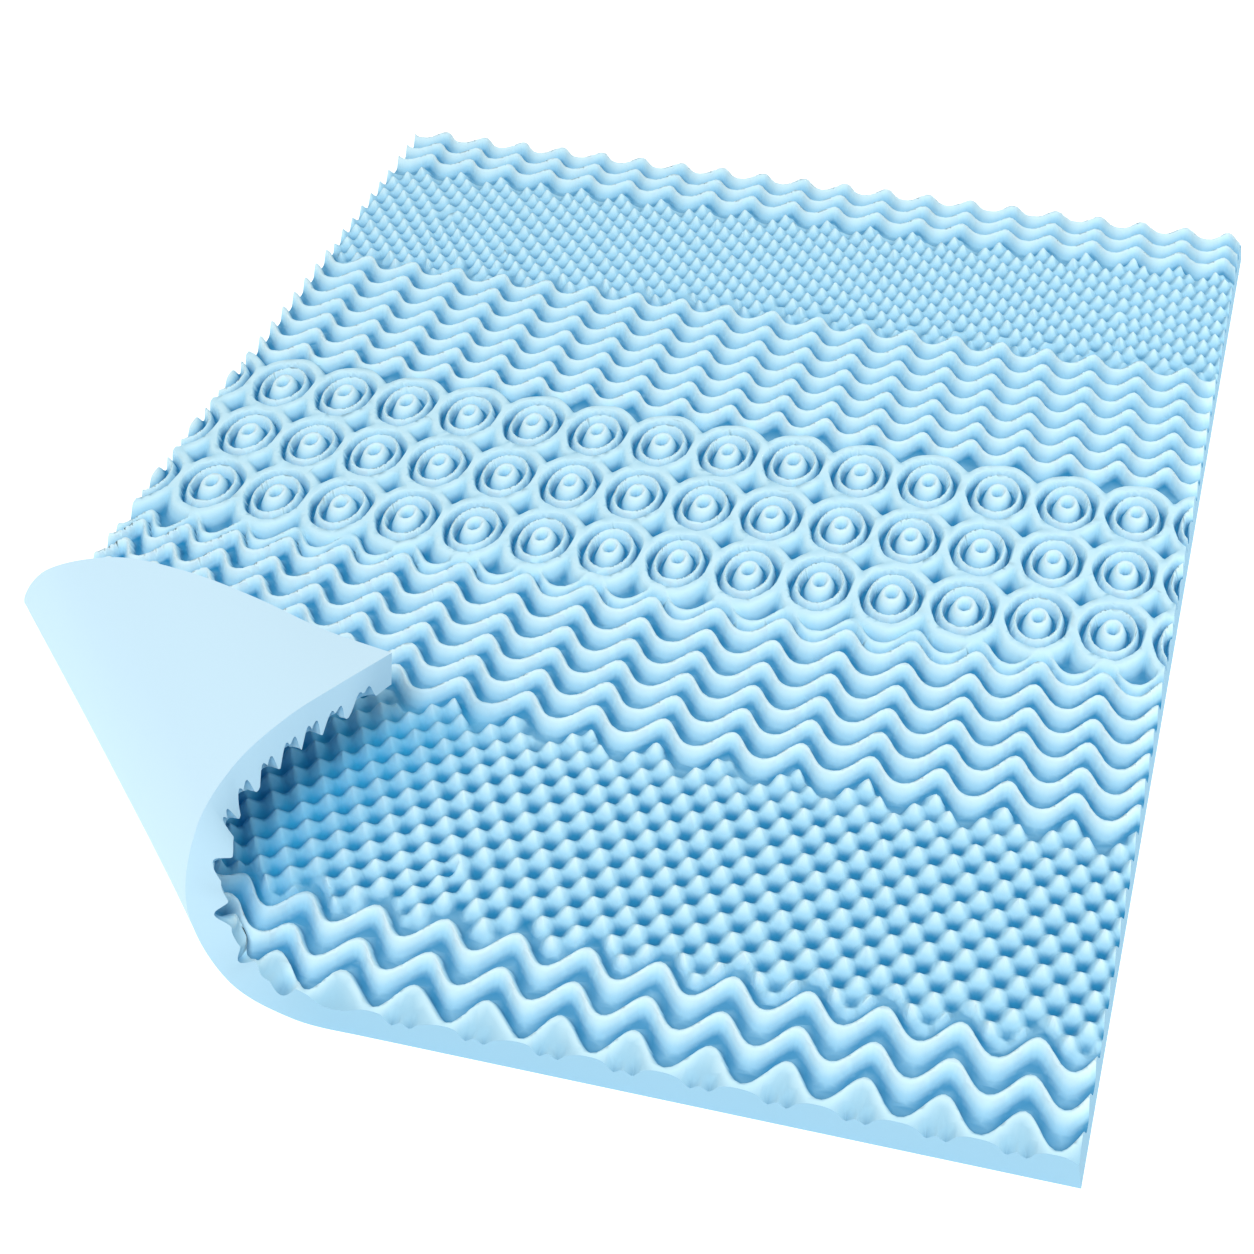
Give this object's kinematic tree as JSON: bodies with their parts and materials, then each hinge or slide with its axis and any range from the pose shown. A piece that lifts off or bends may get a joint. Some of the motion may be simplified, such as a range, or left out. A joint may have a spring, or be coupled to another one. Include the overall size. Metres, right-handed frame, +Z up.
{
  "type": "mattress topper",
  "caption": "Convoluted foam mattress topper with bands of waves, points and rings across its top, lying flat with one corner curled up and over",
  "frame": {"origin": "Centre of the bounding box's underside, on the floor plane", "axes": "+Z up out of the carved face, +Y along the bed's length away from the curled corner, +X across the bed to the right; the curled corner is at -X -Y"},
  "size_m": [1.5278, 2.0332, 0.2139],
  "materials": {
    "foam": "open-cell polyurethane foam, matt, pale blue"
  },
  "bodies": {
    "root": {"topper": "foam"}
  },
  "joints": []
}
